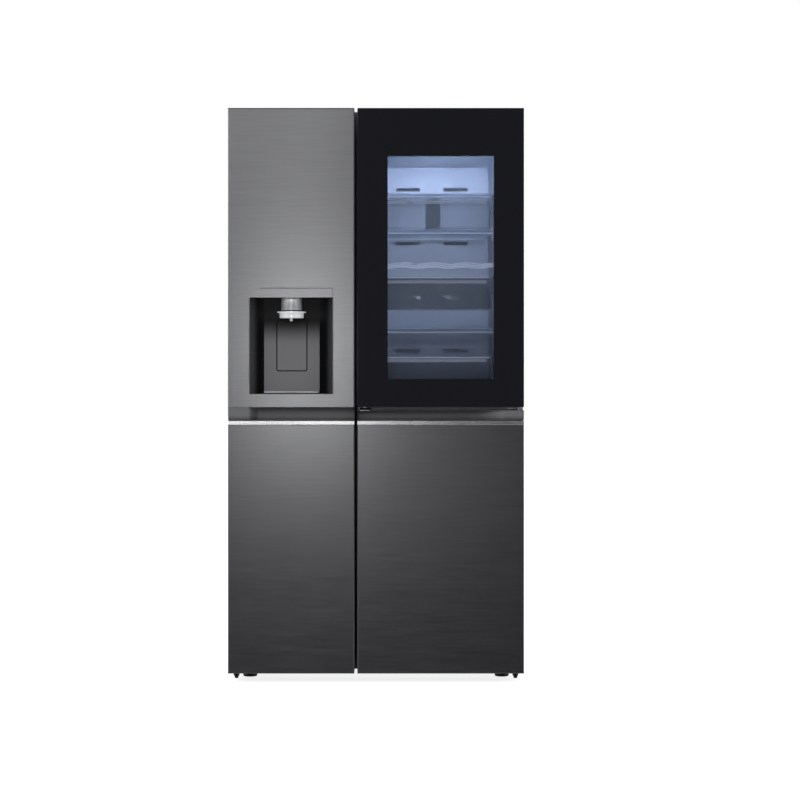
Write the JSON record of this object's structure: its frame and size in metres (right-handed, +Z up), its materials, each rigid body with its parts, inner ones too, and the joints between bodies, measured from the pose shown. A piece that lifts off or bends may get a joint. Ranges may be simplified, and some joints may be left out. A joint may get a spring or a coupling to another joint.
{
  "type": "side by side refrigerator",
  "caption": "Side-by-side refrigerator: freezer door with ice and water dispenser, refrigerator door with a windowed glass outer door, dark steel panels and recessed grips.",
  "frame": {"origin": "on the floor at the centre of the footprint", "axes": "+Z up, doors towards -Y, freezer on the -X side"},
  "size_m": [0.913, 0.735, 1.774],
  "materials": {
    "case_steel": "satin",
    "door_steel": "satin",
    "zinc_steel": "satin",
    "hinge_steel": "satin",
    "foam": "matte",
    "liner": "satin",
    "dark_plastic": "satin",
    "black_plastic": "gloss",
    "grey_plastic": "satin",
    "white_plastic": "satin",
    "clear_plastic": "gloss",
    "rubber": "matte",
    "chrome": "polished",
    "bright_strip": "satin",
    "aluminium": "satin",
    "shelf_glass": "gloss",
    "door_glass": "gloss",
    "lamp_lens": "satin"
  },
  "bodies": {
    "cabinet": {"outer_case": "case_steel", "back_panel": "zinc_steel", "base_frame": "zinc_steel", "top_cover": "dark_plastic", "cabinet_foam": "foam", "cavity_liners": "liner", "duct_covers": "white_plastic", "evaporator": "aluminium", "fan_motors": "black_plastic", "glass_shelves": "shelf_glass", "shelf_trims": "bright_strip", "bottle_rack": "chrome", "lamps": "lamp_lens", "door_hinges": "hinge_steel", "compressor": "hinge_steel", "condenser": "hinge_steel", "condenser_shroud": "dark_plastic", "drain_pan": "black_plastic", "machine_cover": "zinc_steel", "water_valve": "white_plastic", "power_inlet": "black_plastic", "water_filter": "white_plastic"},
    "evaporator_fan": {"evaporator_fan": "white_plastic"},
    "condenser_fan": {"condenser_fan": "black_plastic"},
    "rear_rollers": {"rear_rollers": "black_plastic"},
    "foot_left": {"foot_left": "rubber"},
    "foot_right": {"foot_right": "rubber"},
    "freezer_door": {"freezer_door_skin": "door_steel", "freezer_door_foam": "foam", "freezer_door_liner": "liner", "freezer_door_gasket": "rubber", "freezer_handle": "dark_plastic", "freezer_handle_strip": "bright_strip", "freezer_door_caps": "dark_plastic", "freezer_door_bins": "clear_plastic", "dispenser_housing": "black_plastic", "dispenser_panel": "grey_plastic", "dispenser_nozzle": "chrome", "ice_maker_case": "white_plastic", "ice_bin": "clear_plastic"},
    "dispenser_lever": {"dispenser_lever": "grey_plastic"},
    "drip_tray": {"drip_tray": "black_plastic"},
    "ice_tray": {"ice_tray": "grey_plastic"},
    "ice_auger": {"ice_auger": "zinc_steel"},
    "fridge_door": {"fridge_door_skin": "door_steel", "fridge_door_foam": "foam", "fridge_door_liner": "liner", "fridge_door_gasket": "rubber", "fridge_handle": "dark_plastic", "fridge_handle_strip": "bright_strip", "fridge_door_caps": "dark_plastic", "fridge_door_bins": "clear_plastic"},
    "outer_door": {"outer_door_glass": "door_glass", "outer_door_frame": "dark_plastic", "outer_door_inner_glass": "shelf_glass"},
    "release_lever": {"release_lever": "bright_strip"},
    "freezer_drawer_upper": {"freezer_drawer_upper": "clear_plastic"},
    "freezer_drawer_lower": {"freezer_drawer_lower": "clear_plastic"},
    "crisper_upper": {"crisper_upper": "clear_plastic"},
    "crisper_lower": {"crisper_lower": "clear_plastic"}
  },
  "joints": [
    {"name": "freezer_door", "type": "hinge", "parent": "cabinet", "child": "freezer_door", "pos_m": [-0.4335, -0.3, 0], "axis": [0, 0, -1], "range_deg": [0, 120]},
    {"name": "fridge_door", "type": "hinge", "parent": "cabinet", "child": "fridge_door", "pos_m": [0.4335, -0.3, 0], "axis": [0, 0, 1], "range_deg": [0, 120]},
    {"name": "outer_door", "type": "hinge", "parent": "fridge_door", "child": "outer_door", "pos_m": [0.431, -0.348, 0], "axis": [0, 0, 1], "range_deg": [0, 95]},
    {"name": "release_lever", "type": "slide", "parent": "outer_door", "child": "release_lever", "axis": [0, 0, 1], "range_m": [0, 0.003], "stiffness_N_per_m": 600, "springref_m": -0.001},
    {"name": "dispenser_lever", "type": "hinge", "parent": "freezer_door", "child": "dispenser_lever", "pos_m": [-0.2615, -0.297, 1.108], "axis": [1, 0, 0], "range_deg": [0, 6], "stiffness_Nm_per_rad": 2, "springref_deg": -0.57},
    {"name": "drip_tray", "type": "slide", "parent": "freezer_door", "child": "drip_tray", "axis": [0, -1, 0], "range_m": [0, 0.06]},
    {"name": "ice_tray", "type": "hinge", "parent": "freezer_door", "child": "ice_tray", "pos_m": [-0.255, -0.222, 1.575], "axis": [1, 0, 0], "range_deg": [0, 150]},
    {"name": "ice_auger", "type": "hinge", "parent": "freezer_door", "child": "ice_auger", "pos_m": [-0.255, -0.222, 1.3], "axis": [1, 0, 0], "continuous": true},
    {"name": "evaporator_fan", "type": "hinge", "parent": "cabinet", "child": "evaporator_fan", "pos_m": [-0.25, 0.249, 1.12], "axis": [0, 1, 0], "continuous": true},
    {"name": "condenser_fan", "type": "hinge", "parent": "cabinet", "child": "condenser_fan", "pos_m": [-0.059, 0.245, 0.15], "axis": [1, 0, 0], "continuous": true},
    {"name": "rear_rollers", "type": "hinge", "parent": "cabinet", "child": "rear_rollers", "pos_m": [0, 0.3, 0.021], "axis": [1, 0, 0], "continuous": true},
    {"name": "foot_left", "type": "hinge", "parent": "cabinet", "child": "foot_left", "pos_m": [-0.3955, -0.215, 0.02], "axis": [0, 0, 1], "continuous": true},
    {"name": "foot_right", "type": "hinge", "parent": "cabinet", "child": "foot_right", "pos_m": [0.3955, -0.215, 0.02], "axis": [0, 0, 1], "continuous": true},
    {"name": "freezer_drawer_upper", "type": "slide", "parent": "cabinet", "child": "freezer_drawer_upper", "axis": [0, -1, 0], "range_m": [0, 0.2]},
    {"name": "freezer_drawer_lower", "type": "slide", "parent": "cabinet", "child": "freezer_drawer_lower", "axis": [0, -1, 0], "range_m": [0, 0.2]},
    {"name": "crisper_upper", "type": "slide", "parent": "cabinet", "child": "crisper_upper", "axis": [0, -1, 0], "range_m": [0, 0.2]},
    {"name": "crisper_lower", "type": "slide", "parent": "cabinet", "child": "crisper_lower", "axis": [0, -1, 0], "range_m": [0, 0.2]}
  ],
  "couplings": [
    {"joint": "freezer_drawer_upper", "follows": "freezer_door", "m_per_rad": 0.095},
    {"joint": "freezer_drawer_lower", "follows": "freezer_door", "m_per_rad": 0.095},
    {"joint": "crisper_upper", "follows": "fridge_door", "m_per_rad": 0.095},
    {"joint": "crisper_lower", "follows": "fridge_door", "m_per_rad": 0.095}
  ]
}
